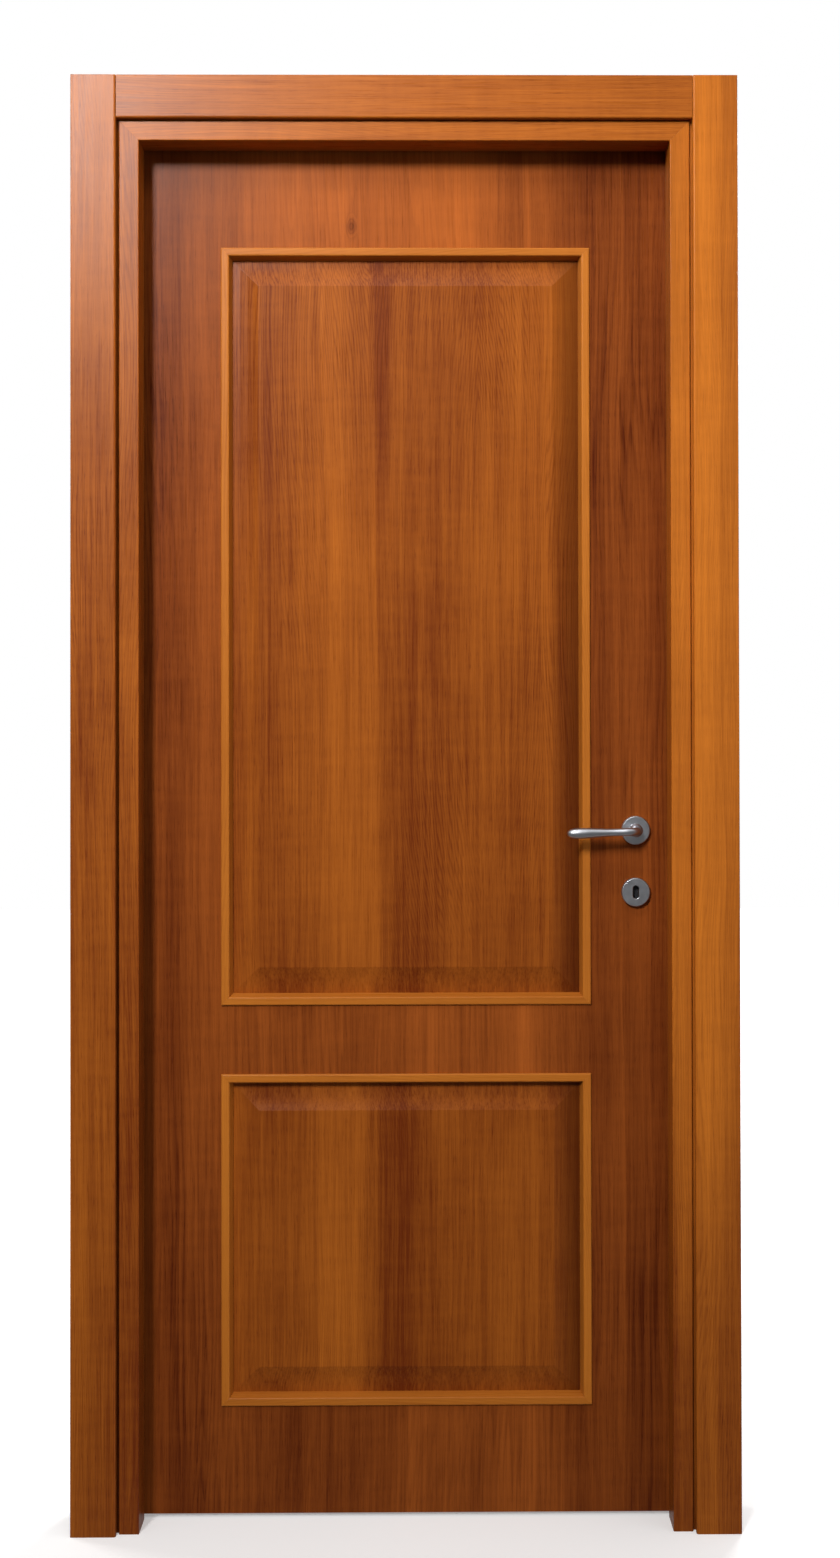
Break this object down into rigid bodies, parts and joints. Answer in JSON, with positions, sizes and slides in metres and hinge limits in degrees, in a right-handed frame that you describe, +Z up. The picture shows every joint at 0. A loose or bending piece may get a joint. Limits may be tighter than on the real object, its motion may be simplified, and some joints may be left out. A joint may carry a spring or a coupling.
{
  "type": "panelled door with frame",
  "caption": "Hinged timber door leaf with raised panels and applied mouldings, in its rebated frame with architraves, lever handles and a mortise lock.",
  "frame": {"origin": "on the floor, below the middle of the bounding box, with x = 0 in the middle of the doorway", "axes": "+Z up, +X to the right seen from the push side that the picture shows, +Y through the doorway towards the side that the leaf opens to"},
  "size_m": [1.007, 0.1622, 2.1965],
  "materials": {
    "leaf_veneer": "satin lacquered veneer, upright grain",
    "panel_veneer": "satin lacquered veneer, upright grain",
    "moulding_wood": "satin lacquered, grain along the bar",
    "architrave_wood": "satin lacquered veneer, grain along the board",
    "jamb_wood": "satin lacquered veneer, grain along the member",
    "core_wood": "stained edges",
    "satin_nickel": "satin nickel plate",
    "hinge_nickel": "satin nickel plate",
    "lock_nickel": "nickel plate",
    "plain_steel": "zinc plated",
    "seal_rubber": "dark brown rubber"
  },
  "bodies": {
    "frame": {"jamb_hinge_side": "jamb_wood", "jamb_lock_side": "jamb_wood", "jamb_head": "jamb_wood", "jamb_rear_strips": "jamb_wood", "frame_seal": "seal_rubber", "strike_plate": "lock_nickel", "strike_screws": "plain_steel", "front_architrave_left": "architrave_wood", "front_architrave_right": "architrave_wood", "front_architrave_head": "architrave_wood", "rear_architrave_left": "architrave_wood", "rear_architrave_right": "architrave_wood", "rear_architrave_head": "architrave_wood", "hinge_bottom_frame_half": "hinge_nickel", "hinge_middle_frame_half": "hinge_nickel", "hinge_top_frame_half": "hinge_nickel", "hinge_pins": "hinge_nickel"},
    "leaf": {"leaf_hinge_stile": "core_wood", "leaf_lock_stile": "core_wood", "leaf_top_rail": "core_wood", "leaf_middle_rail": "core_wood", "leaf_bottom_rail": "core_wood", "leaf_front_skin": "leaf_veneer", "leaf_back_skin": "leaf_veneer", "upper_panel": "panel_veneer", "lower_panel": "panel_veneer", "lock_case": "plain_steel", "lock_face_plate": "lock_nickel", "lock_screws": "plain_steel", "rose_rings": "plain_steel", "latch_spring": "plain_steel", "front_rose": "satin_nickel", "rear_rose": "satin_nickel", "front_escutcheon": "satin_nickel", "rear_escutcheon": "satin_nickel", "upper_front_moulding_bottom": "moulding_wood", "upper_front_moulding_top": "moulding_wood", "upper_front_moulding_left": "moulding_wood", "upper_front_moulding_right": "moulding_wood", "upper_rear_moulding_bottom": "moulding_wood", "upper_rear_moulding_top": "moulding_wood", "upper_rear_moulding_left": "moulding_wood", "upper_rear_moulding_right": "moulding_wood", "lower_front_moulding_bottom": "moulding_wood", "lower_front_moulding_top": "moulding_wood", "lower_front_moulding_left": "moulding_wood", "lower_front_moulding_right": "moulding_wood", "lower_rear_moulding_bottom": "moulding_wood", "lower_rear_moulding_top": "moulding_wood", "lower_rear_moulding_left": "moulding_wood", "lower_rear_moulding_right": "moulding_wood", "hinge_bottom_leaf_half": "hinge_nickel", "hinge_middle_leaf_half": "hinge_nickel", "hinge_top_leaf_half": "hinge_nickel"},
    "handle": {"front_lever": "satin_nickel", "rear_lever": "satin_nickel", "spindle": "plain_steel", "lock_follower": "plain_steel"},
    "latch": {"latch_bolt": "lock_nickel"},
    "dead_bolt": {"dead_bolt": "lock_nickel"}
  },
  "joints": [
    {"name": "door_swing", "type": "hinge", "parent": "frame", "child": "leaf", "pos_m": [-0.434, 0.02252, 1], "axis": [0, 0, 1], "range_deg": [0, 115]},
    {"name": "handle_turn", "type": "hinge", "parent": "leaf", "child": "handle", "pos_m": [0.3535, 0.00103, 1.052], "axis": [0, -1, 0], "range_deg": [0, 35], "stiffness_Nm_per_rad": 1.5, "springref_deg": -14.32},
    {"name": "latch_slide", "type": "slide", "parent": "leaf", "child": "latch", "axis": [-1, 0, 0], "range_m": [0, 0.0125], "deforming": ["latch_spring"]},
    {"name": "bolt_slide", "type": "slide", "parent": "leaf", "child": "dead_bolt", "axis": [1, 0, 0], "range_m": [0, 0.014]}
  ],
  "couplings": [
    {"joint": "latch_slide", "follows": "handle_turn", "m_per_rad": 0.019}
  ]
}
